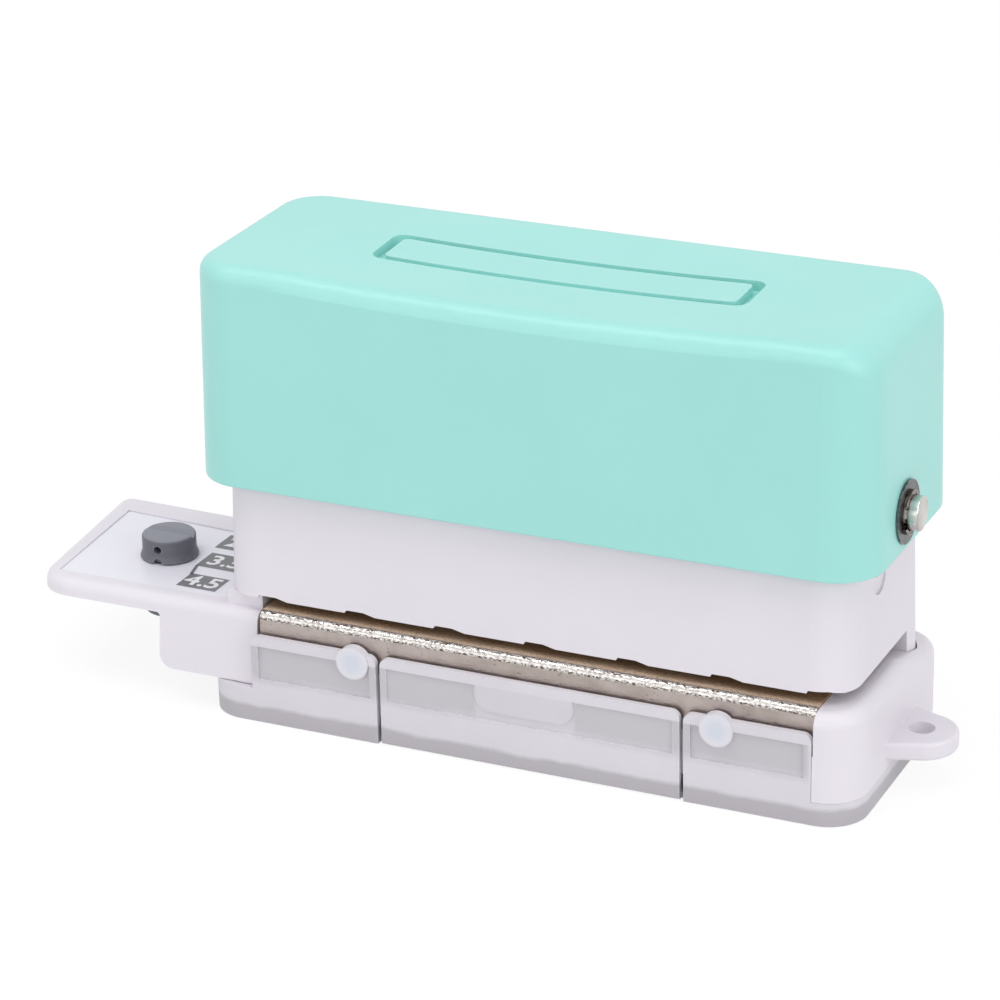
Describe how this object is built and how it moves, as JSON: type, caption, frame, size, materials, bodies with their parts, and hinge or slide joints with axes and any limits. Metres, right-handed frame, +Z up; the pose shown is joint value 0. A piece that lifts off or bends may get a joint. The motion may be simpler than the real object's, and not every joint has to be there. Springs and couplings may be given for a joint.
{
  "type": "six-hole paper punch",
  "caption": "Desk paper punch: a press-down cover drives a row of sprung pins through a steel die, with a dial-set paper stop and a chip tray whose front flap opens.",
  "frame": {"origin": "on the table, under the middle of the press cover, at the chip tray's underside", "axes": "+X along the row of holes towards the hanging ring, +Y to the back, away from the paper, +Z up"},
  "size_m": [0.1903, 0.0527, 0.0936],
  "materials": {
    "mint_plastic": "fine satin moulding, soft sheen",
    "white_plastic": "smooth satin white moulding",
    "panel_plastic": "matt inlay with printed depth figures",
    "frosted_plastic": "frosted translucent moulding",
    "grey_plastic": "satin grey moulding",
    "nickel_steel": "nickel-plated folded sheet, rolled grain",
    "polished_steel": "bright turned steel",
    "dark_steel": "dark oxide washer",
    "pin_steel": "ground hardened steel",
    "spring_steel": "drawn spring wire",
    "screw_steel": "zinc-plated screws"
  },
  "bodies": {
    "machine": {"base": "white_plastic", "margin_scale_plate": "panel_plastic", "body_shell": "white_plastic", "guide_frame": "nickel_steel", "die_plate": "nickel_steel", "frame_rivets": "nickel_steel", "throat_spacers": "nickel_steel", "chip_tray": "frosted_plastic", "case_screws": "screw_steel", "frame_screws": "screw_steel"},
    "press": {"press_cover": "mint_plastic", "axle_rod": "polished_steel", "rod_washer_left": "dark_steel", "rod_washer_right": "dark_steel", "retaining_clip_left": "polished_steel", "retaining_clip_right": "polished_steel", "press_channel": "nickel_steel", "pin_clips": "polished_steel", "punch_pin_1": "pin_steel", "punch_pin_2": "pin_steel", "punch_pin_3": "pin_steel", "punch_pin_4": "pin_steel", "punch_pin_5": "pin_steel", "punch_pin_6": "pin_steel", "return_spring_left": "spring_steel", "return_spring_right": "spring_steel"},
    "dial": {"depth_dial": "grey_plastic", "cam_drum": "grey_plastic", "cam_screw": "screw_steel"},
    "stop": {"paper_stop": "nickel_steel"},
    "door": {"tray_door": "frosted_plastic"}
  },
  "joints": [
    {"name": "press_slide", "type": "slide", "parent": "machine", "child": "press", "axis": [0, 0, -1], "range_m": [0, 0.01], "stiffness_N_per_m": 900, "springref_m": -0.012, "deforming": ["return_spring_left", "return_spring_right"]},
    {"name": "depth_dial_turn", "type": "hinge", "parent": "machine", "child": "dial", "pos_m": [-0.0871, -0.0035, 0.022], "axis": [0, 0, 1], "range_deg": [-40, 40]},
    {"name": "paper_stop_slide", "type": "slide", "parent": "machine", "child": "stop", "axis": [0, 1, 0], "range_m": [-0.001, 0.001]},
    {"name": "tray_door_fold", "type": "hinge", "parent": "machine", "child": "door", "pos_m": [0.00215, -0.02545, 0.00065], "axis": [1, 0, 0], "range_deg": [0, 85]}
  ],
  "couplings": [
    {"joint": "depth_dial_turn", "follows": "paper_stop_slide", "rad_per_m": 698.13}
  ]
}
